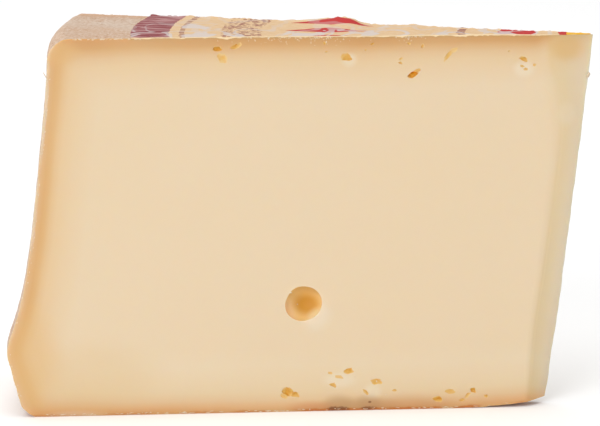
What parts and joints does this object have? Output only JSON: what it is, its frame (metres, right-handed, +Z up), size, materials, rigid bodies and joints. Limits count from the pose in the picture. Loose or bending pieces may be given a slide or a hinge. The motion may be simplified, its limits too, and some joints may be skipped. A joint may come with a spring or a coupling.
{
  "type": "wedge of alpine cheese",
  "caption": "Wedge of firm alpine cheese cut from a low wheel, with a curved rind heel, a round eye, small cracks in the cut face and a paper label on the top rind.",
  "frame": {"origin": "centre of the base, on the surface the wedge stands on", "axes": "+X along the wedge, from the rind heel to the cut nose; +Z up, from the underside to the labelled top; -Y towards the front cut face"},
  "size_m": [0.1228, 0.0432, 0.0812],
  "materials": {
    "cheese": "smooth cut paste, waxy sheen, dry brushed rind",
    "label": "worn printed paper"
  },
  "bodies": {
    "root": {"cheese": "cheese", "label": "label"}
  },
  "joints": []
}
